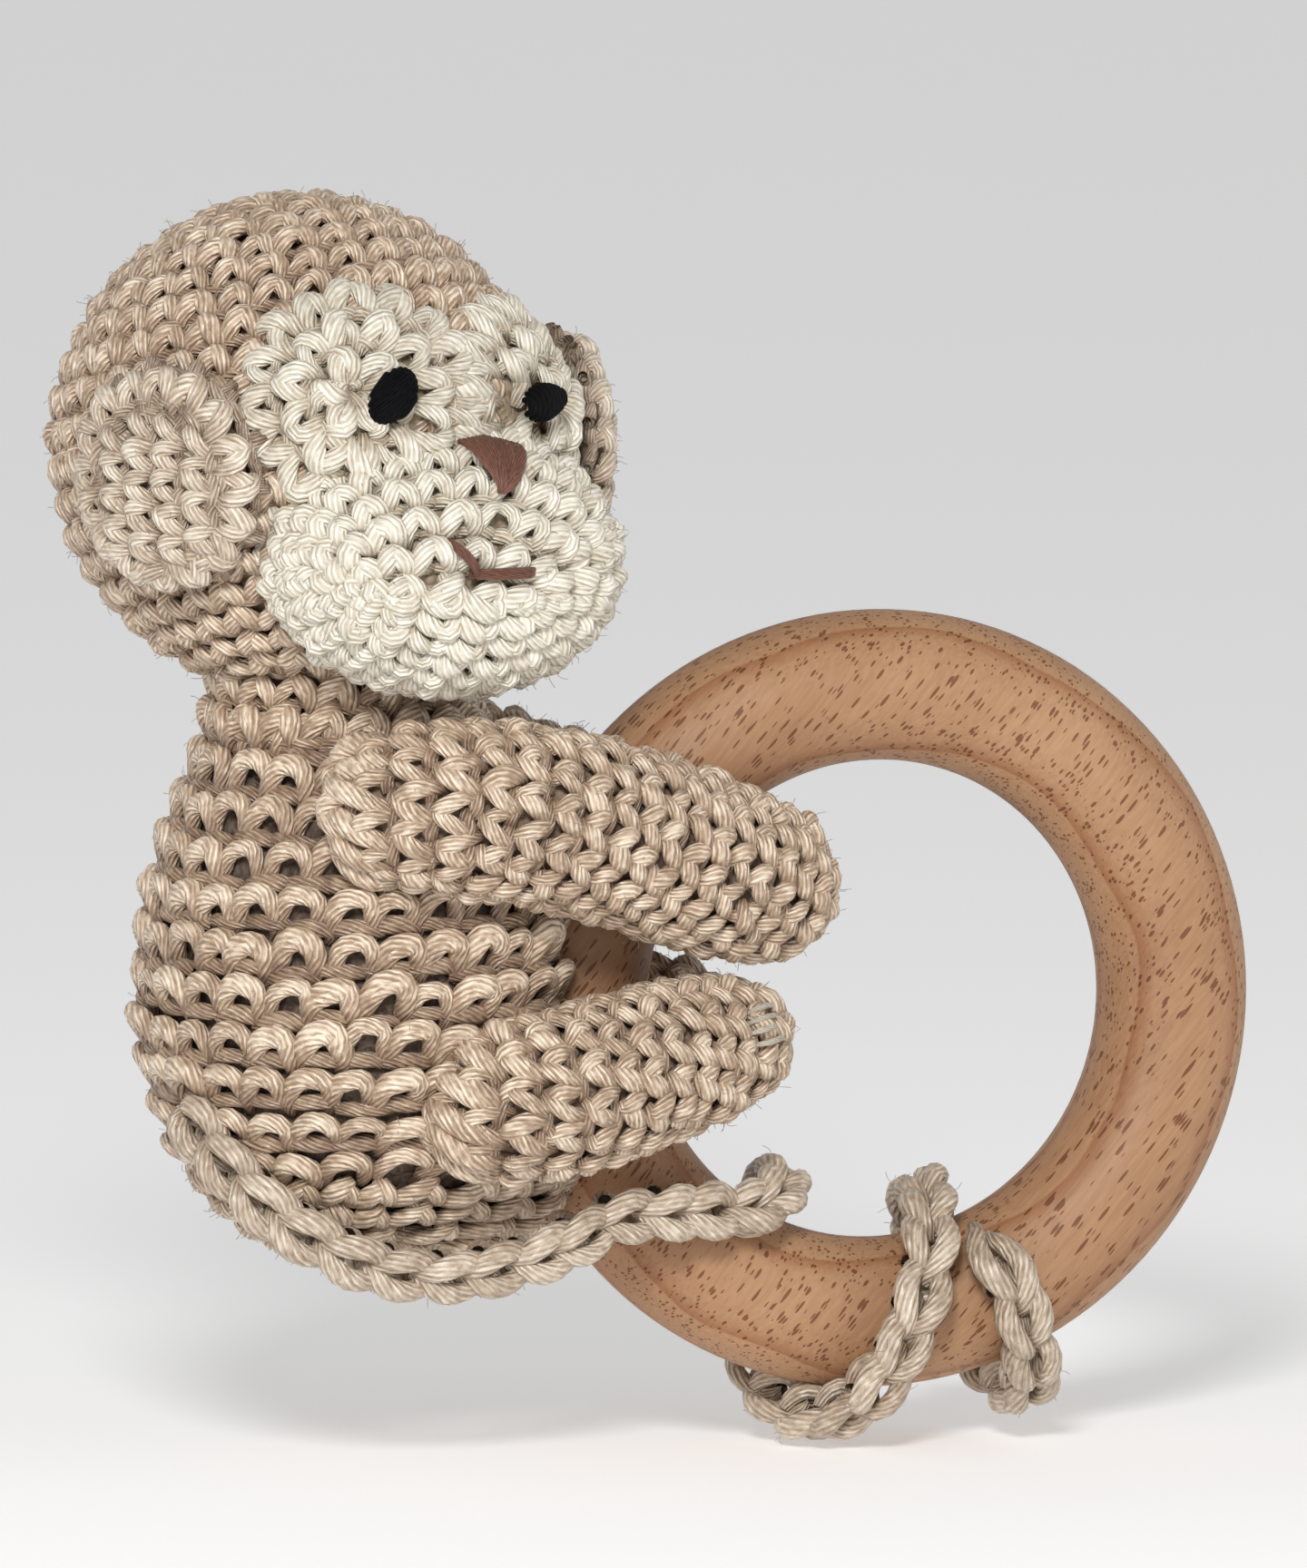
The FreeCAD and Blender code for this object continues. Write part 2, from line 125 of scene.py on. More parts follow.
class Strands:
    """Collects strands, then makes one mesh of them: each a twisted bundle of plies."""

    def __init__(self, around=AROUND, steps_per_control=STEPS_PER_CONTROL):
        self.around, self.steps_per_control = around, steps_per_control
        self.batches = []

    def add(self, points, normals, radii, tone, depth):
        """points and normals: (strands, controls, 3); radii and depth: (strands, controls)."""
        steps = round(points.shape[1] * self.steps_per_control)
        self.batches.append((points, normals, radii, tone, depth, self.around, steps))

    def add_fuzz(self, rng, share):
        """Loose fibres that stand off the yarn, some of them on every strand."""
        for points, normals, radii, tone, _, _, _ in list(self.batches):
            count = int(len(points) * share)
            strand = rng.integers(0, len(points), count)
            control = rng.integers(2, points.shape[1] - 2, count)
            start, out = points[strand, control], normals[strand, control]
            aim = unit(out + rng.normal(0, FUZZ_STRAY[0], (count, 3)))
            bend = unit(aim + rng.normal(0, FUZZ_STRAY[1], (count, 3)))
            reach = rng.uniform(*FUZZ_REACH, (count, 1))
            root = start + aim * (radii[strand, control] * 0.7)[:, None]
            path = np.stack([root, root + aim * reach * 0.5, root + aim * reach * 0.5 + bend * reach * 0.5,
                             root + aim * reach * 0.4 + bend * reach], axis=1)
            self.batches.append((path, np.repeat(out[:, None], 4, 1), np.full((count, 4), FUZZ_RADIUS),
                                 tone[strand], np.full((count, 4), FUZZ_DEPTH), FUZZ_AROUND,
                                 FUZZ_STEPS))

    def mesh(self, name, spacing=PLY_SPACING):
        verts, faces, uvs, tones, depths = [], [], [], [], []
        base = 0
        for P, N, R, T, D, around, steps in self.batches:
            phase = np.arange(around) / around * TAU
            count = len(P)
            path = smooth_path(P, steps)
            normal = smooth_path(N, steps)
            radius = smooth_path(R[..., None], steps)[..., 0]
            depth = smooth_path(D[..., None], steps)[..., 0]
            tangent = unit(np.gradient(path, axis=1))
            side = unit(np.cross(tangent, normal))
            up = np.cross(side, tangent)
            length = np.cumsum(np.linalg.norm(np.diff(path, axis=1, prepend=path[:, :1]), axis=2), 1)
            r = np.broadcast_to(radius[..., None], (count, steps, around))
            ring = (path[:, :, None] + side[:, :, None] * (np.sin(phase) * r)[..., None]
                    + up[:, :, None] * (np.cos(phase) * r * FLATNESS)[..., None])
            verts.append(ring.reshape(-1, 3))
            index = base + np.arange(count * steps * around).reshape(count, steps, around)
            nxt = np.roll(index, -1, axis=2)
            quads = np.stack([index[:, :-1], nxt[:, :-1], nxt[:, 1:], index[:, 1:]], axis=-1)
            faces.append(quads.reshape(-1, 4))
            # one corner-wise map: plies across, millimetres along
            step = PLIES / around
            across = np.arange(around) * step - (length / spacing + 7 * T[:, None])[..., None]
            along = np.broadcast_to((length + 90 * T[:, None])[..., None], index.shape)
            corner_u = np.stack([across[:, :-1], across[:, :-1] + step, across[:, 1:] + step,
                                 across[:, 1:]], axis=-1)
            corner_v = np.stack([along[:, :-1], along[:, :-1], along[:, 1:], along[:, 1:]], axis=-1)
            uvs.append(np.stack([corner_u, corner_v], axis=-1).reshape(-1, 2))
            tones.append(np.repeat(T, steps * around))
            depths.append(np.repeat(depth.reshape(-1), around))
            base += count * steps * around
        verts = np.concatenate(verts) * MM
        faces = np.concatenate(faces)
        mesh = bpy.data.meshes.new(name)
        mesh.vertices.add(len(verts))
        mesh.vertices.foreach_set("co", verts.astype(np.float32).ravel())
        mesh.loops.add(faces.size)
        mesh.loops.foreach_set("vertex_index", faces.astype(np.int32).ravel())
        mesh.polygons.add(len(faces))
        mesh.polygons.foreach_set("loop_start", np.arange(0, faces.size, 4, dtype=np.int32))
        mesh.polygons.foreach_set("use_smooth", np.ones(len(faces), dtype=bool))
        uv = mesh.uv_layers.new(name="yarn")
        uv.data.foreach_set("uv", np.concatenate(uvs).astype(np.float32).ravel())
        # tone is a colour that differs at random by strand; height sets painted shade, darkening the yarn
        # where it lies low in the fabric
        for key, values in (("tone", tones), ("height", depths)):
            layer = mesh.attributes.new(key, "FLOAT", "POINT")
            layer.data.foreach_set("value", np.concatenate(values).astype(np.float32))
        mesh.update()
        mesh.validate()
        piece = bpy.data.objects.new(name, mesh)
        bpy.context.collection.objects.link(piece)
        return piece


# Strands of a single crochet: place along the round and up the fabric in stitches and rows, height
# above the fabric and thickness in yarn radii. The arch rises from the round below, bends over a
# hole and dives again, so the arches of a round join into a scalloped ridge. The bar lies behind it.
OPEN_ARCH = np.array([(0.08, -0.86, -0.80, 0.62), (0.06, -0.61, -0.20, 0.90), (0.08, -0.36, 0.30, 1.00),
                      (0.14, -0.10, 0.85, 1.10), (0.29, 0.09, 1.25, 1.18), (0.50, 0.13, 1.30, 1.10),
                      (0.71, 0.08, 1.25, 1.18), (0.86, -0.10, 0.85, 1.10), (0.92, -0.36, 0.30, 1.00),
                      (0.94, -0.61, -0.20, 0.90), (0.92, -0.86, -0.80, 0.62)])
# The two sides of a close stitch, a V that rises from the valley to the ridge of its round
VEE_RIGHT = np.array([(0.46, -0.88, -0.5, 0.70), (0.43, -0.60, 0.35, 0.95), (0.33, -0.30, 0.95, 1.12),
                      (0.17, -0.04, 1.25, 1.18), (-0.01, 0.13, 1.00, 1.02), (-0.14, 0.20, 0.20, 0.70)])
VEE_LEFT = np.array([(0.54, -0.88, -0.5, 0.70), (0.57, -0.60, 0.35, 0.95), (0.67, -0.30, 0.95, 1.12),
                     (0.83, -0.04, 1.30, 1.18), (1.01, 0.13, 1.05, 1.02), (1.14, 0.20, 0.20, 0.70)])
BAR = np.array([(-0.06, -0.62, -0.3, 0.7), (0.20, -0.56, 0.25, 0.90), (0.5, -0.58, 0.35, 0.95),
                (0.80, -0.56, 0.25, 0.90), (1.06, -0.62, -0.3, 0.7)])
HIGH_BAR = BAR + (0, 0.98, 0, 0)
RIDGED = [shape * (1, 0.92, 1.45, 1) for shape in (VEE_RIGHT, VEE_LEFT, BAR)]
# A whipped stitch that sews a limb on, used in the same way
SEAM = np.array([(-0.35, 0.70, -0.6, 0.6), (-0.15, 0.45, 0.7, 1.0), (0.15, 0.12, 1.35, 1.15),
                 (0.45, -0.25, 1.30, 1.15), (0.75, -0.55, 0.6, 0.95), (0.95, -0.75, -0.6, 0.6)])
LEAN = -0.16            # stitches lean a little, as single crochet does
STITCH_NOISE = 0.03     # how far a whole stitch strays, and then each of its points, in stitches
POINT_NOISE = 0.018
LIFT_NOISE = 0.10       # how much the stitches differ in height and in thickness
RADIUS_NOISE = 0.06
TOP_DEPTH = 1.25        # below this height a stitch gets painted shade; from this height up it is lightest, in yarn radii


def surface_frame(surface, u, v):
    """Place and outward normal on a surface given as a function of two numbers."""
    e = 1e-3
    p = surface(u, v)
    du = surface(u + e, v) - surface(u - e, v)
    dv = surface(u, v + e) - surface(u, v - e)
    return p, unit(np.cross(du, dv))


def crochet(strands, surface, rows, rng, yarn, shapes=(VEE_RIGHT, VEE_LEFT, BAR), drift=0.3, keep=None,
            jitter=1.5):
    """Rows of single crochet on a surface. rows: (v, v per row, stitches, first u, u per stitch).

    A negative v per row turns the stitches over: they were worked towards growing v.
    """
    for number, (v, pitch, count, first, spread) in enumerate(rows):
        places = first + (np.arange(count) + drift * number) * spread
        for shape in shapes:
            size = (count, len(shape))

            def stray():
                return jitter * (rng.normal(0, STITCH_NOISE, (count, 1))
                                 + rng.normal(0, POINT_NOISE, size))
            across = shape[:, 0] + stray()
            upward = shape[:, 1] + stray()
            u = places[:, None] + (across + LEAN * upward) * spread
            p, n = surface_frame(surface, u, v - upward * pitch)
            lift = shape[:, 2] * (1 + jitter * rng.normal(0, LIFT_NOISE, (count, 1)))
            p = p + n * (lift * yarn)[..., None]
            radius = shape[:, 3] * yarn * (1 + jitter * rng.normal(0, RADIUS_NOISE, (count, 1)))
            shown = np.ones(count, bool) if keep is None else keep(p[:, len(shape) // 2])
            if shown.any():
                # each point's height up to TOP_DEPTH, which the yarn material turns into painted shade
                depth = np.broadcast_to(np.minimum(shape[:, 2], TOP_DEPTH), size)
                strands.add(p[shown], n[shown], radius[shown], rng.uniform(0, 1, count)[shown],
                            depth[shown])


def rounds(levels, pitch, length_at, stitch, first=0.0):
    """Closed rounds, each with as many stitches as fit its length."""
    rows = []
    for v in levels:
        count = max(5, round(length_at(v) / stitch))
        rows.append((v, pitch, count, first, TAU / count))
    return rows


def push_off_ring(points, gap):
    """Moves points that come too near the wood straight out to its surface plus a gap."""
    flat = points * (1, 0, 1)
    reach = np.linalg.norm(flat, axis=-1, keepdims=True)
    core = flat / np.maximum(reach, 1e-6) * RING_RADIUS
    away = points - core
    distance = np.linalg.norm(away, axis=-1, keepdims=True)
    wanted = np.maximum(distance, RING_TUBE + gap)
    return core + away / np.maximum(distance, 1e-6) * wanted


# ------------------------------------------------------------------ surfaces

BODY_SKIN = 2.1     # how far the fabric's middle lies inside the tops of its stitches


def patch(name, surface, u_steps, v_range, v_steps, inward=0.0):
    """A plain closed mesh of a surface: the wadding or lining that shows between stitches."""
    u = np.linspace(0, TAU, u_steps, endpoint=False)
    v = np.linspace(v_range[0], v_range[1], v_steps)
    uu, vv = np.meshgrid(u, v)
    p, n = surface_frame(surface, uu, vv)
    verts = (p - n * inward).reshape(-1, 3) * MM
    index = np.arange(u_steps * v_steps).reshape(v_steps, u_steps)
    across = np.roll(index, -1, axis=1)
    quads = np.stack([index[:-1], across[:-1], across[1:], index[1:]], axis=-1).reshape(-1, 4)
    faces = [tuple(q[::-1]) for q in quads.tolist()]
    faces.append(tuple(index[0].tolist()))
    faces.append(tuple(index[-1].tolist()[::-1]))
    mesh = bpy.data.meshes.new(name)
    mesh.from_pydata(verts.tolist(), [], faces)
    mesh.polygons.foreach_set("use_smooth", np.ones(len(mesh.polygons), dtype=bool))
    mesh.update()
    piece = bpy.data.objects.new(name, mesh)
    bpy.context.collection.objects.link(piece)
    return piece


def by_length(points):
    """Cumulative length along a polyline, for even spacing of rows."""
    return np.concatenate([[0], np.cumsum(np.linalg.norm(np.diff(points, axis=0), axis=1))])


# Body: a pear, by length along its outline from the neck down to the seat.
UPPER_RISE = 33.1   # height of the ellipse above the waist, cut off by the neck
LAP = 8.5           # how far the seat bulges forward under the legs
pear_start = math.asin(min(1.0, (BODY_TOP - WAIST + 1.5) / UPPER_RISE))
pear_angle = np.linspace(pear_start, -math.pi / 2, 600)
pear_r = (BODY_RADIUS - BODY_SKIN) * np.cos(pear_angle)
pear_h = WAIST + (np.where(pear_angle > 0, UPPER_RISE, WAIST - BODY_BOTTOM) - BODY_SKIN) \
    * np.sin(pear_angle)
pear_s = by_length(np.stack([pear_r, pear_h], 1))


def body_surface(u, v):
    r = np.interp(v, pear_s, pear_r)
    h = np.interp(v, pear_s, pear_h)
    lap = np.clip((WAIST - 3 - h) / 14, 0, 1) * np.clip(np.cos(u), 0, 1) * LAP
    p = np.stack([BODY_X + r * np.cos(u) + lap, -r * np.sin(u), h], axis=-1)
    return push_off_ring(p, 1.6)


# Head: a ball whose rounds start at a pole tipped towards the back.
HEAD_SKIN = 1.5
HEAD_SINK = 0.6     # the ball sits this much lower than the CAD head's
POLE_TIP = 0.24
pole = unit(np.array([0, 0, 1.0]) - FACING * POLE_TIP)
pole_side = unit(np.cross(pole, FACING))
pole_front = np.cross(pole_side, pole)
HEAD_AXES = np.stack([pole_front, pole_side, pole], axis=1)


def head_surface(u, v):
    """v is the length from the pole."""
    radius = HEAD_RADIUS - HEAD_SKIN
    angle = v / radius
    local = np.stack([np.sin(angle) * np.cos(u), -np.sin(angle) * np.sin(u), np.cos(angle)], -1)
    return HEAD - (0, 0, HEAD_SINK) + (local * radius) @ HEAD_AXES.T


# Face: a frame on the head with x towards the monkey's left, y up and z out of the face.
FACE_TILT = math.radians(-5.8)
tilt = np.array(Matrix.Rotation(FACE_TILT, 3, Vector(FACING)))
FACE = tilt @ np.stack([LEFTWARD, (0, 0, 1), FACING], axis=1)


def turned(degrees):
    a = math.radians(degrees)
    return np.array([[math.cos(a), 0, math.sin(a)], [0, 1, 0], [-math.sin(a), 0, math.cos(a)]])


def face_axes(angle, up):
    """The face's frame turned to look out at an angle sideways and a height angle."""
    b = math.radians(up)
    lift = np.array([[1, 0, 0], [0, math.cos(b), math.sin(b)], [0, -math.sin(b), math.cos(b)]])
    return FACE @ turned(angle) @ lift


MUZZLE = np.array([16.8, 11.9, 11.5])       # half width, half height and depth
MUZZLE_AT = np.array([0.9, -9.6, 18.2])
MUZZLE_TURN = turned(-13)                   # sewn on a little askew, towards the right
MUZZLE_CHAIN = (-4.0, 6.5, -3.2)            # the starting chain: middle, half length, height
MUZZLE_SKIN = 1.4


def muzzle_surface(u, v):
    """v is 0 on the starting chain, 1 on the rim and beyond it behind the rim."""
    a = v * math.pi / 2
    w = np.sin(a)
    size = MUZZLE - MUZZLE_SKIN
    rim_x, rim_y = size[0] * np.cos(u), -size[1] * np.sin(u)
    x = (MUZZLE_CHAIN[0] + MUZZLE_CHAIN[1] * np.cos(u)) * (1 - w) + rim_x * w
    y = MUZZLE_CHAIN[2] * (1 - w) + rim_y * w
    inside = np.clip(1 - (x / size[0]) ** 2 - (y / size[1]) ** 2, 0, 1)
    z = size[2] * np.sqrt(inside) * np.where(np.cos(a) >= 0, 1, -1)
    return HEAD + (np.stack([x, y, z], -1) @ MUZZLE_TURN.T + MUZZLE_AT) @ FACE.T


def disc_surface(angle, up, out, half_width, half_height, bulge, droop, aside=0.0):
    """A padded disc on the head; v is the share of the way from its start to its edge."""
    axes = face_axes(angle, up)

    def surface(u, v):
        x, y = half_width * v * np.cos(u) + aside * (1 - v), -half_height * v * np.sin(u)
        z = out + bulge * (1 - v ** 4) - droop * v ** 2
        return HEAD + np.stack([x, y, z], -1) @ axes.T
    return surface


def limb_surface(node, path_shares, wide, high, side):
    """A stuffed limb. path_shares place its middle line in the right limb's CAD box."""
    low, high_corner = box_mm(node)
    size = high_corner - low
    shares = np.array(path_shares, float)
    middle = low + shares[:, :3] * size
    middle[:, 1] = side * np.abs(middle[:, 1])
    control = smooth_path(middle[None], 200)[0]
    s = by_length(control)
    girth = smooth_path(shares[None, :, 3:], 200)[0]
    tangent = unit(np.gradient(control, axis=0))
    across = unit(np.cross(tangent, (0, 0, 1)))
    above = np.cross(across, tangent)

    def surface(u, v):
        def at(values):
            return np.stack([np.interp(v, s, values[:, i]) for i in range(3)], -1)
        a = np.interp(v, s, girth[:, 0]) * wide
        b = np.interp(v, s, girth[:, 1]) * high
        p = (at(control) + at(across) * (a * np.cos(u))[..., None]
             - at(above) * (b * np.sin(u))[..., None])
        return push_off_ring(p, 1.0)
    surface.length = s[-1]
    surface.girth = lambda v: math.pi * (np.interp(v, s, girth[:, 0]) * wide
                                         + np.interp(v, s, girth[:, 1]) * high)
    return surface


# Tail: a free stretch through given points, then turns round the ring's section.
TAIL_FREE = [(-65.5, -6.0, -7.5), (-62.0, -11.5, -14.2), (-55.0, -14.2, -19.6), (-45.5, -14.2, -22.6),
             (-35.0, -13.2, -20.4), (-26.0, -11.6, -16.2)]
# (angle round the wood's section from its outer side, angle round the ring), in degrees
TAIL_WOUND = [(238, 235), (180, 241.5), (90, 251), (0, 260.5), (-90, 271), (-180, 286.5), (-270, 289.5),
              (-360, 291), (-440, 291.5), (-500, 291.0)]
TAIL_RADIUS = 2.4


def tail_path():
    reach = RING_TUBE + TAIL_RADIUS + 0.25
    section, around = (np.radians(a) for a in zip(*TAIL_WOUND))
    fine = np.linspace(0, len(section) - 1, 160)
    known = np.arange(len(section))
    section = np.interp(fine, known, section)
    around = np.interp(fine, known, around)
    radius = RING_RADIUS + reach * np.cos(section)
    wound = np.stack([radius * np.cos(around), reach * np.sin(section), radius * np.sin(around)], 1)
    free = smooth_path(np.array(TAIL_FREE)[None], 90)[0]
    points = np.concatenate([free, wound])
    for _ in range(14):     # ease the joins between the stretches
        points[1:-1] += 0.5 * ((points[:-2] + points[2:]) / 2 - points[1:-1])
    s = by_length(points)
    even = np.linspace(0, s[-1], 400)
    points = np.stack([np.interp(even, s, points[:, i]) for i in range(3)], 1)
    return points, even


# ------------------------------------------------------------------ materials


def shader(name):
    material = bpy.data.materials.new(name)
    material.use_nodes = True
    nodes = material.node_tree.nodes
    return material, nodes, material.node_tree.links, nodes["Principled BSDF"]


def ramp(nodes, stops):
    node = nodes.new("ShaderNodeValToRGB")
    while len(node.color_ramp.elements) < len(stops):
        node.color_ramp.elements.new(0.5)
    for element, (place, colour) in zip(node.color_ramp.elements, stops):
        element.position = place
        element.color = (*colour, 1)
    return node


def mix_colour(nodes, links, kind, factor, first, second):
    node = nodes.new("ShaderNodeMix")
    node.data_type = "RGBA"
    node.blend_type = kind
    for socket, value in ((node.inputs[0], factor), (node.inputs[6], first), (node.inputs[7], second)):
        if isinstance(value, bpy.types.NodeSocket):
            links.new(value, socket)
        elif isinstance(value, tuple):
            socket.default_value = (*value, 1)
        else:
            socket.default_value = value
    return node.outputs[2]


def maths(nodes, links, operation, *values):
    node = nodes.new("ShaderNodeMath")
    node.operation = operation
    for socket, value in zip(node.inputs, values):
        if isinstance(value, bpy.types.NodeSocket):
            links.new(value, socket)
        else:
            socket.default_value = value
    return node.outputs[0]


def yarn_material(name, deep, dark, middle, light, gloss=0.36, sheen=0.2, shine=0.75):
    """Plied cotton: colour varying at random by stitch, painted shade by depth in the fabric, fine fibres
    along each ply whose lightest streaks are painted glints, and painted highlights on the ply crests with
    painted shade in their grooves.
    """
    material, nodes, links, bsdf = shader(name)
    uv = nodes.new("ShaderNodeUVMap")
    uv.uv_map = "yarn"
    split = nodes.new("ShaderNodeSeparateXYZ")
    links.new(uv.outputs[0], split.inputs[0])
    stretch = nodes.new("ShaderNodeMapping")
    stretch.inputs["Scale"].default_value = (1.0, 0.75, 1.0)
    links.new(uv.outputs[0], stretch.inputs[0])
    fibres = nodes.new("ShaderNodeTexNoise")
    fibres.inputs["Scale"].default_value = 1.3
    fibres.inputs["Detail"].default_value = 3.0
    links.new(stretch.outputs[0], fibres.inputs["Vector"])
    groove = maths(nodes, links, "COSINE", maths(nodes, links, "MULTIPLY", split.outputs[0], TAU))
    crest = maths(nodes, links, "MULTIPLY_ADD", groove, 0.5, 0.5)
    tone = nodes.new("ShaderNodeAttribute")
    tone.attribute_name = "tone"
    height = nodes.new("ShaderNodeAttribute")
    height.attribute_name = "height"
    shade = maths(nodes, links, "MULTIPLY_ADD", tone.outputs["Fac"], 0.18, -0.46)
    # darker where the yarn lies low in the fabric: painted shade in the recesses between stitches
    shade = maths(nodes, links, "MULTIPLY_ADD", height.outputs["Fac"], 0.34, shade)
    # streaks of random tone along the plies, strong enough that the lightest stand in as painted glints
    shade = maths(nodes, links, "MULTIPLY_ADD", fibres.outputs["Fac"], 1.30, shade)
    # lighter on each ply's crest and darker in the groove between plies: painted highlight and painted shade
    shade = maths(nodes, links, "MULTIPLY_ADD", crest, 0.13, shade)
    colours = ramp(nodes, [(0.0, deep), (0.30, dark), (0.62, middle), (0.95, light)])
    links.new(shade, colours.inputs[0])
    links.new(colours.outputs[0], bsdf.inputs["Base Color"])
    bump = nodes.new("ShaderNodeBump")
    bump.inputs["Strength"].default_value = 0.9
    bump.inputs["Distance"].default_value = 0.00017
    relief = maths(nodes, links, "MULTIPLY_ADD", fibres.outputs["Fac"], 0.35,
                   maths(nodes, links, "POWER", crest, 0.6))
    links.new(relief, bump.inputs["Height"])
    links.new(bump.outputs[0], bsdf.inputs["Normal"])
    bsdf.inputs["Roughness"].default_value = gloss
    bsdf.inputs["Specular IOR Level"].default_value = shine
    bsdf.inputs["Sheen Weight"].default_value = sheen
    bsdf.inputs["Sheen Roughness"].default_value = 0.4
    bsdf.inputs["Sheen Tint"].default_value = (*light, 1)
    return material


def fibre_material(name, dark, light):
    """Loose wadding or the shadowed back of the fabric, both coloured darker than they are: painted shade for
    the holes between stitches.
    """
    material, nodes, links, bsdf = shader(name)
    place = nodes.new("ShaderNodeTexCoord")
    noise = nodes.new("ShaderNodeTexNoise")
    noise.inputs["Scale"].default_value = 900.0
    noise.inputs["Detail"].default_value = 6.0
    noise.inputs["Distortion"].default_value = 1.4
    links.new(place.outputs["Object"], noise.inputs["Vector"])
    colours = ramp(nodes, [(0.35, dark), (0.65, light)])
    links.new(noise.outputs["Fac"], colours.inputs[0])
    links.new(colours.outputs[0], bsdf.inputs["Base Color"])
    bump = nodes.new("ShaderNodeBump")
    bump.inputs["Strength"].default_value = 0.8
    bump.inputs["Distance"].default_value = 0.0003
    links.new(noise.outputs["Fac"], bump.inputs["Height"])
    links.new(bump.outputs[0], bsdf.inputs["Normal"])
    bsdf.inputs["Roughness"].default_value = 0.95
    bsdf.inputs["Specular IOR Level"].default_value = 0.1
    return material


def wood_material(name):
    """Sanded beech cut across the board: growth layers stacked along Y, flecks along the grain."""
    material, nodes, links, bsdf = shader(name)
    place = nodes.new("ShaderNodeTexCoord")
    grain = nodes.new("ShaderNodeMapping")
    grain.inputs["Rotation"].default_value = (0, math.radians(50), 0)
    links.new(place.outputs["Object"], grain.inputs[0])

    def stretched(scale_along, scale_across):
        node = nodes.new("ShaderNodeMapping")
        node.inputs["Scale"].default_value = (scale_along, scale_across, scale_across)
        links.new(grain.outputs[0], node.inputs[0])
        return node.outputs[0]

    wide = nodes.new("ShaderNodeTexNoise")
    wide.inputs["Scale"].default_value = 1.0
    wide.inputs["Detail"].default_value = 4.0
    links.new(stretched(22, 60), wide.inputs["Vector"])
    fine = nodes.new("ShaderNodeTexNoise")
    fine.inputs["Scale"].default_value = 1.0
    fine.inputs["Detail"].default_value = 5.0
    links.new(stretched(260, 3200), fine.inputs["Vector"])
    tone = maths(nodes, links, "MULTIPLY_ADD", fine.outputs["Fac"], 0.35,
                 maths(nodes, links, "MULTIPLY", wide.outputs["Fac"], 0.65))
    base = ramp(nodes, [(0.30, (0.300, 0.152, 0.076)), (0.50, (0.405, 0.225, 0.118)),
                        (0.70, (0.50, 0.300, 0.172))])
    links.new(tone, base.inputs[0])

    # growth layers: thin darker lines where wavy planes of constant Y meet the surface
    split = nodes.new("ShaderNodeSeparateXYZ")
    links.new(place.outputs["Object"], split.inputs[0])
    swirl = nodes.new("ShaderNodeTexNoise")
    swirl.inputs["Scale"].default_value = 34.0
    swirl.inputs["Detail"].default_value = 2.5
    swirl.inputs["Roughness"].default_value = 0.4
    links.new(place.outputs["Object"], swirl.inputs["Vector"])
    layer = maths(nodes, links, "MULTIPLY_ADD", swirl.outputs["Fac"], 0.0085, split.outputs[1])
    layer = maths(nodes, links, "FRACT", maths(nodes, links, "MULTIPLY", layer, 1 / 0.0047))
    line = ramp(nodes, [(0.0, (0, 0, 0)), (0.74, (0.10, 0.10, 0.10)), (0.96, (1, 1, 1)), (1.0, (0, 0, 0))])
    links.new(layer, line.inputs[0])
    lined = mix_colour(nodes, links, "MULTIPLY", line.outputs[0], base.outputs[0],
                       (0.76, 0.60, 0.50))

    # flecks: short dark dashes along the grain
    cells = nodes.new("ShaderNodeTexVoronoi")
    cells.inputs["Scale"].default_value = 1.0
    cells.inputs["Randomness"].default_value = 0.9
    links.new(stretched(540, 3300), cells.inputs["Vector"])
    chance = nodes.new("ShaderNodeSeparateColor")
    links.new(cells.outputs["Color"], chance.inputs[0])
    size = maths(nodes, links, "MULTIPLY_ADD", chance.outputs[0], 1.25, -0.62)
    fleck = maths(nodes, links, "SUBTRACT", size, cells.outputs["Distance"])
    fleck = maths(nodes, links, "MULTIPLY", fleck, 12.0)
    fleck = maths(nodes, links, "MINIMUM", maths(nodes, links, "MAXIMUM", fleck, 0.0), 1.0)
    final = mix_colour(nodes, links, "MULTIPLY", fleck, lined, (0.46, 0.32, 0.24))
    links.new(final, bsdf.inputs["Base Color"])
    bump = nodes.new("ShaderNodeBump")
    bump.inputs["Strength"].default_value = 0.35
    bump.inputs["Distance"].default_value = 0.0001
    relief = maths(nodes, links, "SUBTRACT", fine.outputs["Fac"], fleck)
    links.new(relief, bump.inputs["Height"])
    links.new(bump.outputs[0], bsdf.inputs["Normal"])
    bsdf.inputs["Roughness"].default_value = 0.52
    bsdf.inputs["Specular IOR Level"].default_value = 0.35
    return material


def plastic_material(name, colour):
    material, nodes, links, bsdf = shader(name)
    noise = nodes.new("ShaderNodeTexNoise")
    noise.inputs["Scale"].default_value = 400.0
    colours = ramp(nodes, [(0.3, tuple(c * 0.92 for c in colour)), (0.7, colour)])
    links.new(noise.outputs["Fac"], colours.inputs[0])
    links.new(colours.outputs[0], bsdf.inputs["Base Color"])
    bsdf.inputs["Roughness"].default_value = 0.3
    return material


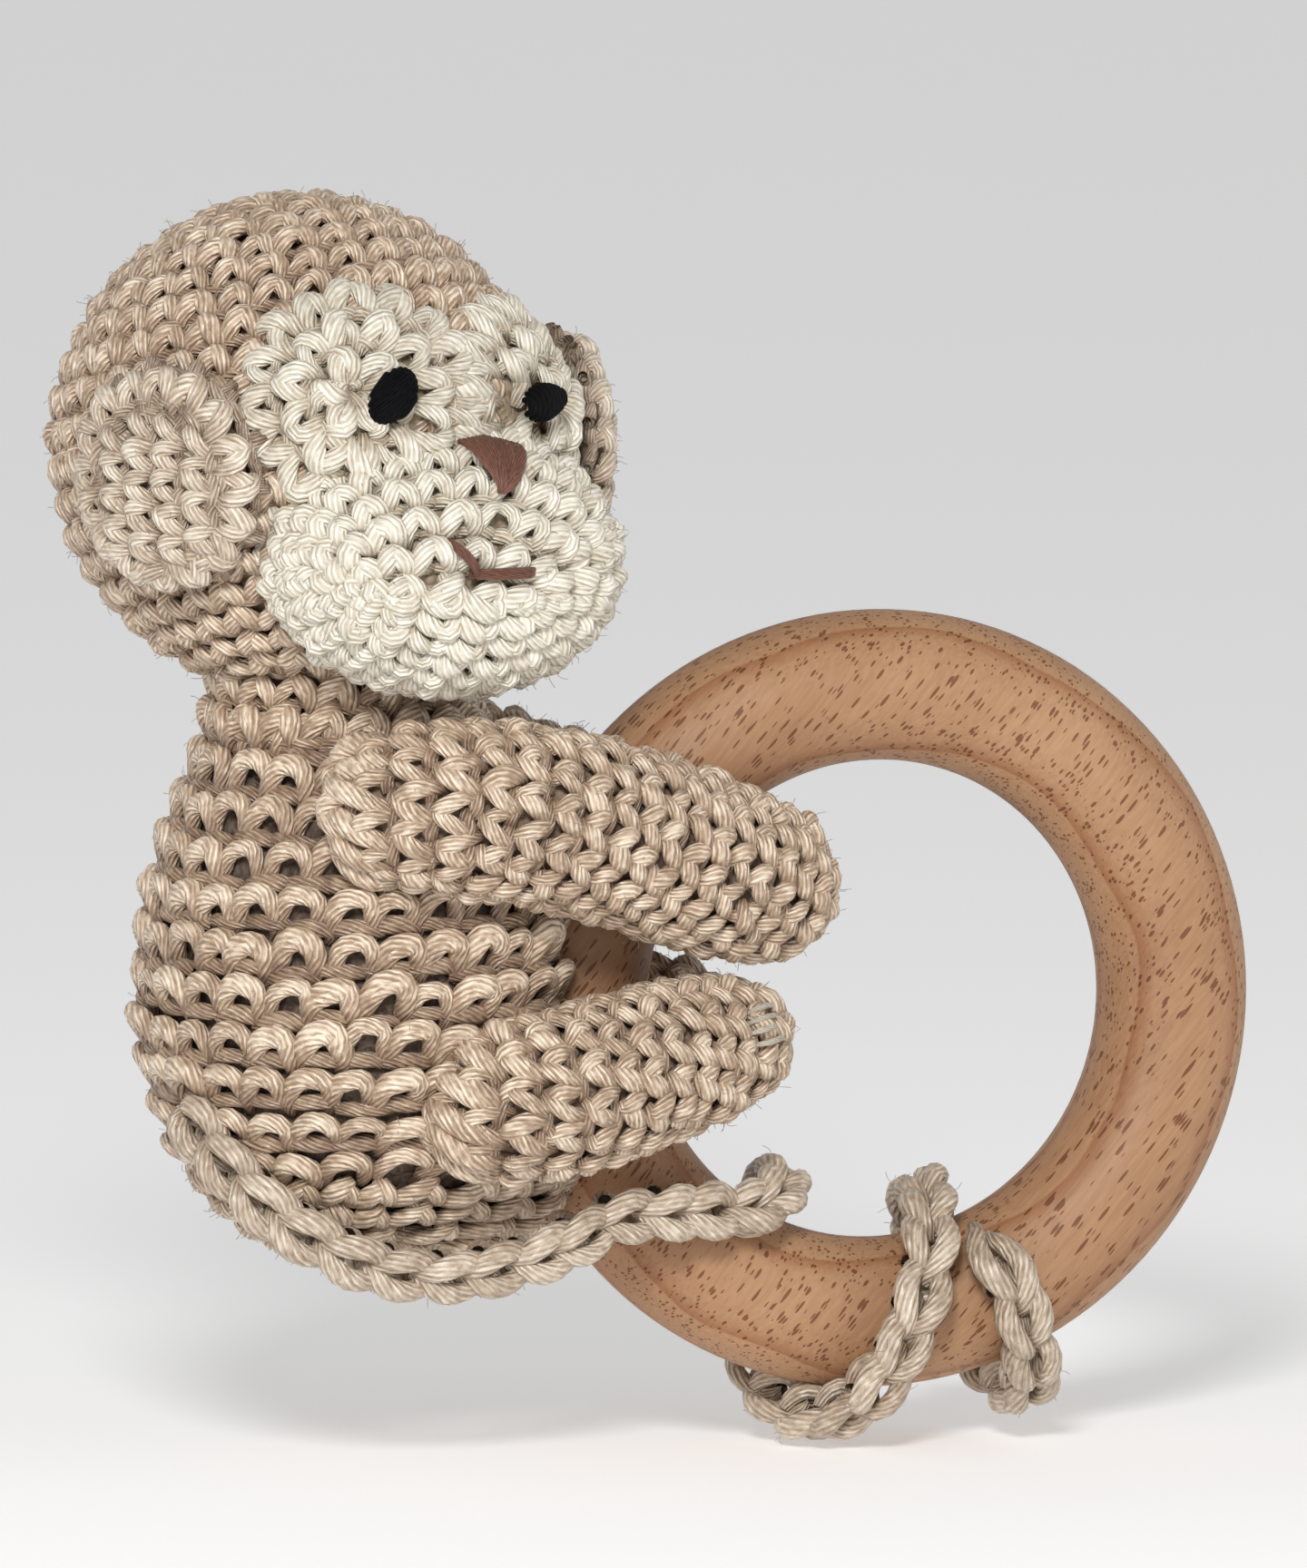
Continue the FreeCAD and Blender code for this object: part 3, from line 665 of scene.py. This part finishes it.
BEIGE = yarn_material("beige_cotton", (0.13, 0.066, 0.040), (0.26, 0.165, 0.108), (0.475, 0.335, 0.225),
                      (0.90, 0.745, 0.58))
PALE_BEIGE = yarn_material("pale_beige_cotton", (0.17, 0.10, 0.062), (0.33, 0.235, 0.165),
                           (0.55, 0.44, 0.325), (0.84, 0.75, 0.62))
CREAM = yarn_material("cream_cotton", (0.24, 0.17, 0.105), (0.46, 0.375, 0.27), (0.68, 0.61, 0.485),
                      (0.90, 0.85, 0.74))
BLACK = yarn_material("black_thread", (0.001, 0.001, 0.001), (0.002, 0.002, 0.002),
                      (0.003, 0.003, 0.004), (0.006, 0.006, 0.007), gloss=0.7, sheen=0.0, shine=0.1)
BROWN = yarn_material("brown_thread", (0.07, 0.022, 0.012), (0.13, 0.045, 0.026), (0.20, 0.075, 0.045),
                      (0.28, 0.12, 0.075), gloss=0.5, sheen=0.1)
# the stuffing's grey, darkened to brown as painted shade for the body's holes
WADDING = fibre_material("wadding_in_painted_shade", (0.075, 0.050, 0.036), (0.21, 0.16, 0.125))
# darker copies of the beige and cream yarn for the stuffing and fabric back seen between stitches: painted
# shade
BEIGE_BACK = fibre_material("beige_backing", (0.23, 0.155, 0.108), (0.43, 0.315, 0.23))
CREAM_BACK = fibre_material("cream_backing", (0.27, 0.20, 0.13), (0.50, 0.42, 0.31))

# ------------------------------------------------------------------ pieces


def dress(piece, material, slot, body, *nodes, fill=None):
    piece.data.materials.clear()
    piece.data.materials.append(material)
    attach(piece, body)
    if nodes:
        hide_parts(*nodes)


def make_body():
    """Open rounds from the neck down, then closer and finer ones over the seat."""
    rng = np.random.default_rng(11)
    open_pitch, close_pitch = 3.95, 2.9
    seat_length = 17.0
    strands = Strands()

    def length(v):
        return TAU * np.interp(v, pear_s, pear_r)
    levels = np.arange(1.2, pear_s[-1] - seat_length, open_pitch)
    crochet(strands, body_surface, rounds(levels, open_pitch, length, 4.2), rng, 0.86,
            shapes=(OPEN_ARCH, HIGH_BAR), jitter=2.0)
    seat = np.arange(levels[-1] + close_pitch, pear_s[-1] - 1.5, close_pitch)
    crochet(strands, body_surface, rounds(seat, close_pitch, length, 3.2), rng, 0.80)
    strands.add_fuzz(rng, 1.6)
    dress(strands.mesh("body_crochet"), BEIGE, "beige_yarn", "monkey", "body_shell")
    wad = patch("body_wadding", body_surface, 96, (0.0, pear_s[-1] - 0.05), 64, inward=0.7)
    dress(wad, WADDING, "stuffing", "monkey", "body_stuffing_lower", "body_stuffing_upper", fill=0.8)


NECK_RADIUS = 10.4


def neck_surface(u, v):
    """The narrow rounds between body and head; v is the length below the head."""
    r = NECK_RADIUS + 0.05 * (v - 4.0) ** 2
    return np.stack([NECK[0] + r * np.cos(u), -r * np.sin(u), NECK[2] + 5.0 - v], axis=-1)


def make_neck():
    rng = np.random.default_rng(10)
    strands = Strands()
    rows = rounds(np.array([0.0, 3.2, 6.2]), 3.2, lambda v: TAU * NECK_RADIUS, 3.7)
    crochet(strands, neck_surface, rows, rng, 0.84)
    strands.add_fuzz(rng, 1.0)
    dress(strands.mesh("neck_crochet"), BEIGE, "beige_yarn", "neck", "neck_seam")
    wad = patch("neck_wadding", neck_surface, 64, (-1.0, 6.5), 12, inward=2.2)
    dress(wad, BEIGE_BACK, "stuffing", "neck", "neck_stuffing", fill=0.8)


def make_head():
    """Close rounds from the pole down, left out behind the muzzle and below the head."""
    rng = np.random.default_rng(12)
    radius = HEAD_RADIUS - HEAD_SKIN
    pitch = 2.95
    levels = np.arange(2.2, radius * 2.72, pitch)
    rows = rounds(levels, pitch, lambda v: TAU * radius * math.sin(v / radius), 3.3)
    strands = Strands(around=8, steps_per_control=1.34)

    def keep(p):
        out = p - HEAD
        behind_muzzle = unit(out) @ unit(MUZZLE_AT @ FACE.T) > 0.90
        return ~behind_muzzle & (p[:, 2] > head_low[2] - 1)
    crochet(strands, head_surface, rows, rng, 0.80, keep=keep)
    strands.add_fuzz(rng, 0.8)
    dress(strands.mesh("head_crochet"), BEIGE, "beige_yarn", "head", "head_shell")
    wad = patch("head_wadding", head_surface, 96, (0.05, radius * 2.75), 64, inward=0.7)
    dress(wad, BEIGE_BACK, "stuffing", "head", "head_stuffing", fill=0.9)


def make_muzzle():
    """Ridged ovals round the starting chain, left out where they would lie inside the head."""
    rng = np.random.default_rng(13)
    count = 6.6     # rounds from the chain to the rim
    levels = np.arange(0.35, count * 1.45, 1.0) / count

    def length(v):
        u = np.linspace(0, TAU, 80)
        return by_length(muzzle_surface(u, np.full_like(u, v)))[-1]

    def keep(p):
        return np.linalg.norm(p - HEAD, axis=1) > HEAD_RADIUS - 1.5
    rows = rounds(levels, -1 / count, length, 2.9)
    strands = Strands()
    crochet(strands, muzzle_surface, rows, rng, 0.84, keep=keep, shapes=RIDGED)
    strands.add_fuzz(rng, 1.6)
    dress(strands.mesh("muzzle_crochet"), CREAM, "cream_yarn", "head", "muzzle_shell")
    wad = patch("muzzle_wadding", muzzle_surface, 80, (0.0, 1.5), 40, inward=0.4)
    dress(wad, CREAM_BACK, "stuffing", "head", "muzzle_stuffing", fill=0.8)


RIGHT_EYE, LEFT_EYE = (-24.5, 10.3), (12.9, 10.6)      # degrees round the face, and up it


def make_brow():
    """Two round lobes, with no stitch where an eye is sewn on."""
    rng = np.random.default_rng(14)
    eyes = [HEAD + (HEAD_RADIUS + 2) * face_axes(*place)[:, 2] for place in (RIGHT_EYE, LEFT_EYE)]

    def keep(p):
        return np.min([np.linalg.norm(p - eye, axis=1) for eye in eyes], axis=0) > 1.9
    strands = Strands()
    pieces = []
    for side in (-1, 1):
        lobe = disc_surface(side * 25.5 - 1.5, 10.5, HEAD_RADIUS - 1.0, 10.4, 9.8, 2.0, 2.8,
                            aside=side * 2.6)
        rows = [(0.33, -0.32, 6, 0.0, TAU / 6), (0.65, -0.32, 11, 0.2, TAU / 11),
                (0.96, -0.32, 16, 0.4, TAU / 16)]
        crochet(strands, lobe, rows, rng, 0.84, jitter=2.2, keep=keep)
        pieces.append(patch("brow_backing_%s" % ("right" if side < 0 else "left"), lobe, 40,
                            (0.02, 1.0), 12, inward=0.5))
    dress(strands.mesh("brow_crochet"), CREAM, "cream_yarn", "head", "brow_patch")
    for piece in pieces:
        dress(piece, CREAM_BACK, "cream_yarn", "head")


def make_ear(label, side, angle, up, out, half_width, half_height):
    """Straight rows over the middle of a padded disc, and a raised round along its edge."""
    rng = np.random.default_rng(15 + side)
    disc = disc_surface(angle, up, out, half_width, half_height, 1.6, 0.6)

    def rows_across(u, v):
        """u runs down the ear and v across it, both in millimetres."""
        x, y = v / half_width, u / half_height
        return disc(np.arctan2(y, x), np.sqrt(x ** 2 + y ** 2))
    strands = Strands()
    rows = []
    pitch, stitch = 2.7, 2.7
    for v in np.arange(-4.3, 6.0, pitch):
        reach = half_height * math.sqrt(1 - (v / half_width) ** 2) - 1.6
        count = max(2, round(2 * reach / stitch))
        spread = 2 * reach / count
        rows.append((v, pitch, count, -reach + spread / 2, spread))
    crochet(strands, rows_across, rows, rng, 0.72, drift=0.0)
    edge = rounds([1.02], -0.30, lambda v: math.pi * (half_width + half_height), 3.3)
    crochet(strands, disc, edge, rng, 0.82)
    strands.add_fuzz(rng, 1.6)
    inner = rounds([0.55, 0.92], 0.32, lambda v: math.pi * v * (half_width + half_height), 3.3)
    crochet(strands, lambda u, v: disc(-u, v), inner, rng, 0.72)
    dress(strands.mesh("ear_%s_crochet" % label), PALE_BEIGE, "beige_yarn", "head", "ear_" + label)
    back = patch("ear_%s_backing" % label, disc, 40, (0.02, 1.05), 12, inward=0.4)
    dress(back, BEIGE_BACK, "beige_yarn", "head")


# A limb's middle line as shares of its CAD box, then its width and height as shares of the full ones.
ARM_LINE = [(0.00, 0.47, 0.63, 0.30, 0.35), (0.05, 0.40, 0.64, 0.80, 0.86), (0.169, 0.31, 0.66, 1.0, 1.0),
            (0.346, 0.33, 0.63, 1.0, 1.0), (0.554, 0.48, 0.51, 1.0, 1.02), (0.752, 0.63, 0.365, 1.0, 1.02),
            (0.89, 0.75, 0.27, 0.92, 0.88), (0.96, 0.80, 0.255, 0.62, 0.60), (0.985, 0.82, 0.255, 0.05, 0.05)]
LEG_LINE = [(-0.01, 0.44, 0.42, 0.30, 0.35), (0.06, 0.37, 0.415, 0.80, 0.85), (0.227, 0.31, 0.42, 1.0, 1.0),
            (0.5, 0.45, 0.538, 1.0, 1.0), (0.787, 0.67, 0.622, 0.95, 0.88), (0.93, 0.78, 0.672, 0.66, 0.62),
            (0.985, 0.82, 0.684, 0.05, 0.05)]


def leaving_body(surface):
    """How far along a limb its surface comes out of the body, at places around it."""
    u, v = np.meshgrid(np.linspace(0, TAU, 90), np.linspace(1, 76, 60))
    skin, out = surface_frame(body_surface, u, v)
    skin, out = skin.reshape(-1, 3), out.reshape(-1, 3)
    around, along = np.linspace(0, TAU, 25), np.linspace(0.3, 15, 50)
    exits = []
    for place in around:
        points = surface(np.full(50, place), along)
        nearest = np.argmin(((points[:, None] - skin) ** 2).sum(2), axis=1)
        outside = ((points - skin[nearest]) * out[nearest]).sum(1) > 0.4
        exits.append(along[np.argmax(outside)])
    exits = np.array(exits)
    return around, (exits + np.roll(exits, 1) + np.roll(exits, -1)) / 3


def make_limb(kind, label, side, line, wide, high, seed):
    rng = np.random.default_rng(seed)
    surface = limb_surface("%s_right_shell" % kind, line, wide, high, side)
    pitch = 2.75
    levels = np.arange(1.0, surface.length - 0.6, pitch)
    rows = rounds(levels, pitch, surface.girth, 2.9)
    strands = Strands()
    crochet(strands, surface, rows, rng, 0.78, jitter=1.8)
    around, exits = leaving_body(surface)

    def seam(u, v):
        return surface(u, v + np.interp(u % TAU, around, exits))
    crochet(strands, seam, [(2.2, 3.8, 12, 0.0, TAU / 12)], rng, 1.0, shapes=(SEAM,))
    strands.add_fuzz(rng, 1.6)
    name = "%s_%s" % (kind, label)
    dress(strands.mesh(name + "_crochet"), BEIGE, "beige_yarn", "monkey", name + "_shell")
    wad = patch(name + "_wadding", surface, 48, (0.02, surface.length - 0.02), 48, inward=0.6)
    dress(wad, BEIGE_BACK, "stuffing", "monkey", name + "_stuffing", fill=0.7)


# One side of a chain stitch: place across in cord radii, along in links, height in cord radii.
LINK = np.array([(0.04, -0.30, 0.10, 0.55), (0.30, -0.08, 0.72, 0.85), (0.62, 0.28, 0.80, 1.0),
                 (0.72, 0.62, 0.55, 1.0), (0.50, 0.98, 0.38, 0.9), (0.16, 1.28, 0.18, 0.7),
                 (0.02, 1.50, -0.25, 0.5)])
BACK_BUMP = np.array([(-0.70, 0.10, 0.1, 0.6), (-0.50, 0.20, -0.60, 0.95), (0.0, 0.45, -0.90, 1.1),
                      (0.50, 0.70, -0.60, 0.95), (0.70, 0.80, 0.1, 0.6)])


def make_tail():
    rng = np.random.default_rng(31)
    points, s = tail_path()
    tangent = unit(np.gradient(points, axis=0))
    flat = points * (1, 0, 1)
    core = unit(flat) * RING_RADIUS
    near_ring = np.clip((14.5 - np.linalg.norm(points - core, axis=1)) / 4, 0, 1)[:, None]
    off_ring = unit(points - core)
    off_body = unit(unit(points - np.array([BODY_X, 0, WAIST])) * 0.6 - (0, 1, 0))
    outward = unit(off_ring * near_ring + off_body * (1 - near_ring))
    outward = unit(outward - (outward * tangent).sum(1, keepdims=True) * tangent)
    across = np.cross(tangent, outward)

    def at(values, place):
        return np.stack([np.interp(place, s, values[:, i]) for i in range(3)], -1)
    link = 4.5
    strands = Strands()
    for shape, mirrors in ((LINK, (1, -1)), (BACK_BUMP, (1,))):
        starts = np.arange(0.0, s[-1] - link * 1.2, link)
        for mirror in mirrors:
            count = len(starts)
            along = starts[:, None] + (shape[None, :, 1] + rng.normal(0, 0.07, (count, 1))) * link
            x = shape[None, :, 0] * mirror * TAIL_RADIUS * 1.02
            h = shape[None, :, 2] * TAIL_RADIUS * (1 + rng.normal(0, 0.12, (count, 1)))
            p = at(points, along) + at(across, along) * x[..., None] + at(outward, along) * h[..., None]
            centre_out = at(across, along) * x[..., None] + at(outward, along) * (h[..., None] + 0.5)
            radius = np.broadcast_to(shape[None, :, 3], p.shape[:2]) * 1.15 * (
                1 + rng.normal(0, 0.05, (count, 1)))
            # height above the cord, which the yarn material turns into painted shade on the low parts of each
            # link
            depth = np.broadcast_to(np.abs(shape[None, :, 2]) * 1.1, p.shape[:2])
            strands.add(p, unit(centre_out), radius, rng.uniform(0, 1, count), depth)
    strands.add_fuzz(rng, 2.0)
    dress(strands.mesh("tail_chain", spacing=1.3), PALE_BEIGE, "beige_yarn", "monkey", "tail",
          "tail_tip_knot")


def stitch_fan(name, lines, radius, material, slot, body, *nodes, depth=0.8):
    """Embroidery: separate long stitches, each given by its control points."""
    rng = np.random.default_rng(5)
    strands = Strands()
    points = np.array([p for p, _ in lines])
    normals = np.array([n for _, n in lines])
    radii = np.full(points.shape[:2], radius) * (1 + rng.normal(0, 0.06, (len(points), 1)))
    radii[:, [0, -1]] *= 0.6
    # depth sets the painted shade the yarn material gives these stitches; 0.8 paints them a little darker
    # than the tops of the crochet
    strands.add(points, unit(normals), radii, rng.uniform(0, 1, len(points)),
                np.full(points.shape[:2], depth))
    dress(strands.mesh(name), material, slot, body, *nodes)


def make_darning():
    """Four short stitches beside the tip of the near foot, where its yarn end is fastened off."""
    surface = limb_surface("leg_right_shell", LEG_LINE, 5.4, 6.1, -1)
    around = np.linspace(0, TAU, 60)
    _, out = surface_frame(surface, around, np.full(60, surface.length - 7.0))
    middle = around[np.argmax(out @ (-0.3, -0.95, 0.1))]
    lines = []
    for turn, shift in ((-0.27, 0.3), (-0.12, 0.0), (0.03, -0.4), (0.21, 0.1)):
        along = surface.length + shift - np.array([8.6, 8.2, 7.0, 5.6, 5.1])
        points, normals = surface_frame(surface, np.full(5, middle + turn), along)
        lift = np.array([0.8, 1.9, 2.1, 1.9, 0.8])
        lines.append((points + normals * lift[:, None], normals))
    # depth 2.0 paints the darning lighter than the tops of the crochet: painted light
    stitch_fan("foot_darning", lines, 0.28, PALE_BEIGE, "beige_yarn", "monkey", depth=2.0)


def make_knot(name):
    """Whipped stitches from one hand or foot to the other."""
    low, high = box_mm(name)
    middle, half = (low + high) / 2, (high - low) / 2
    lines = []
    for start in np.arange(7) / 7 * TAU:
        control, normals = [], []
        for k in (-1.0, -0.7, -0.3, 0.3, 0.7, 1.0):
            out = np.array([math.cos(start + 0.6 * k), 0, math.sin(start + 0.6 * k)])
            control.append(middle + half * (out * 0.72 * (1 - 0.35 * abs(k) ** 3) + (0, 0.9 * k, 0)))
            normals.append(out)
        lines.append((control, normals))
    stitch_fan(name + "_yarn", lines, 0.72, BEIGE, "beige_yarn", "monkey", name)


def make_eye(label, angle, up, half_width, half_height, lean, out):
    """Upright stitches side by side that fill an oval; both ends of each dive into the brow."""
    axes = face_axes(angle, up)
    middle = HEAD + (HEAD_RADIUS + out) * axes[:, 2]
    lines = []
    for share in np.linspace(-1, 1, 9):
        x = share * half_width * 0.86
        reach = half_height * math.sqrt(max(0.0, 1 - (share * 0.9) ** 2))
        control = []
        for k in (-1, -0.86, -0.45, 0, 0.45, 0.86, 1):
            px, py = x, reach * k
            qx = px * math.cos(lean) - py * math.sin(lean)
            qy = px * math.sin(lean) + py * math.cos(lean)
            lift = 0.5 * (1 - 0.5 * share ** 2) * (1 - abs(k) ** 3) - 0.6 * (abs(k) == 1)
            control.append(middle + axes @ np.array([qx, qy, lift]))
        lines.append((control, [axes[:, 2]] * 7))
    stitch_fan("eye_%s_thread" % label, lines, 0.50, BLACK, "black_thread", "head", "eye_" + label)


def on_muzzle(x, y, lift):
    """A point over the muzzle's front at a place across and up the face."""
    depths = np.linspace(34, 12, 400)
    sight = np.stack([np.full(400, x), np.full(400, y), depths], axis=1)
    own = (sight - MUZZLE_AT) @ MUZZLE_TURN / (MUZZLE + 0.4)
    hit = np.argmax((own ** 2).sum(1) <= 1)
    return HEAD + FACE @ (sight[hit] + (0, 0, lift))


def make_nose():
    """Satin stitches that fan from the tip of the nose to its top edge."""
    lines = []
    top, bottom, half, lean = 1.4, -3.4, 2.9, -1.8
    for share in np.linspace(-1, 1, 13):
        control = []
        for k in (0, 0.08, 0.3, 0.6, 0.85, 1.0):
            x = share * half * (1 - k * 0.95) + lean * k
            y = top + (bottom - top) * k - 0.5 * abs(share) * (1 - k)
            control.append(on_muzzle(x, y, 0.95 - 0.9 * (k in (0, 1.0))))
        lines.append((control, [FACE[:, 2]] * 6))
    stitch_fan("nose_thread", lines, 0.40, BROWN, "brown_thread", "head", "nose_stitches")


def make_mouth():
    """Two lines of doubled thread: a short one at the corner, then a long one."""
    lines = []
    for start, end in (((-7.3, -7.9), (-4.4, -10.8)), ((-4.8, -10.7), (1.4, -10.1))):
        for offset in (-0.18, 0.18):
            control = []
            for k, lift in ((0, -0.8), (0.12, 0.45), (0.5, 0.75), (0.88, 0.45), (1, -0.8)):
                x = start[0] + (end[0] - start[0]) * k
                y = start[1] + (end[1] - start[1]) * k + offset
                control.append(on_muzzle(x, y, lift))
            lines.append((control, [FACE[:, 2]] * 5))
    stitch_fan("mouth_thread", lines, 0.36, BROWN, "brown_thread", "head", "mouth_stitches")


make_body()
make_neck()
make_head()
make_muzzle()
make_brow()
# label, side, angle and height angle on the head, distance from its middle, half width, half height
make_ear("right", -1, -74.0, -11.0, HEAD_RADIUS + 1.0, 7.8, 8.5)
make_ear("left", 1, 70.0, 1.0, HEAD_RADIUS + 3.3, 8.4, 9.0)
for seed, (label, side) in enumerate((("right", -1), ("left", 1))):
    make_limb("arm", label, side, ARM_LINE, 5.7, 6.6, 40 + seed)
    make_limb("leg", label, side, LEG_LINE, 5.4, 6.1, 50 + seed)
make_tail()
# label, place, half width, half height, lean in radians, distance out of the head
make_eye("right", *RIGHT_EYE, 1.7, 2.7, -0.6, 2.9)
make_eye("left", *LEFT_EYE, 2.9, 1.5, 0.2, 3.7)
make_nose()
make_mouth()
make_knot("hand_knot")
make_knot("foot_knot")
make_darning()

for node, material in (("wood_ring", wood_material("beech")),
                       ("capsule_lower", plastic_material("capsule", (0.85, 0.85, 0.82))),
                       ("capsule_upper", plastic_material("capsule_top", (0.85, 0.85, 0.82)))):
    item = frame["nodes"][node]
    item.data.materials.clear()
    item.data.materials.append(material)
bead_plastic = plastic_material("bead", (0.70, 0.16, 0.12))
for number in range(1, 4):
    item = frame["nodes"]["rattle_bead_%d" % number]
    item.data.materials.clear()
    item.data.materials.append(bead_plastic)

# ------------------------------------------------------------------ stage, light and camera

FLOOR_GAP = 0.0002
FLOOR_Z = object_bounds()[0][2] - FLOOR_GAP
SENSOR = 36         # millimetres


def make_stage():
    bpy.ops.mesh.primitive_circle_add(vertices=96, radius=4.0, fill_type="NGON",
                                      location=(0, 0, FLOOR_Z))
    floor = bpy.context.object
    floor.name = "floor"
    material, _, _, bsdf = shader("pale_floor")
    bsdf.inputs["Base Color"].default_value = (0.95, 0.95, 0.95, 1)
    bsdf.inputs["Emission Color"].default_value = (1, 1, 1, 1)
    bsdf.inputs["Emission Strength"].default_value = 0.27
    bsdf.inputs["Roughness"].default_value = 0.9
    floor.data.materials.append(material)
    world = bpy.data.worlds.new("pale")
    world.use_nodes = True
    nodes, links = world.node_tree.nodes, world.node_tree.links
    place = nodes.new("ShaderNodeTexCoord")
    split = nodes.new("ShaderNodeSeparateXYZ")
    links.new(place.outputs["Generated"], split.inputs[0])
    sky = ramp(nodes, [(0.15, (1, 1, 1)), (0.5, (0.5, 0.5, 0.5)), (1.0, (0.2, 0.2, 0.2))])
    links.new(split.outputs[2], sky.inputs[0])
    links.new(sky.outputs[0], nodes["Background"].inputs[0])
    nodes["Background"].inputs[1].default_value = 0.84
    bpy.context.scene.world = world


def area_light(name, location, size, power, target=(-0.02, 0, 0.02)):
    data = bpy.data.lights.new(name, "AREA")
    data.shape = "DISK"
    data.size = size
    data.energy = power
    lamp = bpy.data.objects.new(name, data)
    lamp.location = location
    lamp.rotation_euler = (Vector(target) - Vector(location)).to_track_quat("-Z", "Y").to_euler()
    bpy.context.collection.objects.link(lamp)


def make_camera():
    azimuth, elevation = math.radians(-17.3), math.radians(5.3)
    distance = 2.2
    view_width = 0.1171684          # metres across the view at the ring
    back = Vector((math.sin(azimuth) * math.cos(elevation), -math.cos(azimuth) * math.cos(elevation),
                   math.sin(elevation)))
    right = Vector((math.cos(azimuth), math.sin(azimuth), 0))
    up = back.cross(right)
    aim = right * -0.0196094 + up * 0.0192026      # metres from the ring's middle
    data = bpy.data.cameras.new("camera")
    data.sensor_fit = "HORIZONTAL"
    data.sensor_width = SENSOR
    data.lens = SENSOR * distance / view_width
    data.clip_start = 0.01
    camera = bpy.data.objects.new("camera", data)
    place = aim + back * distance
    camera.matrix_world = Matrix((
        (right.x, up.x, back.x, place.x),
        (right.y, up.y, back.y, place.y),
        (right.z, up.z, back.z, place.z),
        (0, 0, 0, 1)))
    bpy.context.collection.objects.link(camera)
    bpy.context.scene.camera = camera


make_stage()
area_light("key", (-0.35, -0.85, 0.46), 0.22, 6.4)
area_light("fill", (0.8, -0.6, 0.35), 0.6, 0.6)
make_camera()
bpy.context.scene.view_settings.view_transform = "Standard"
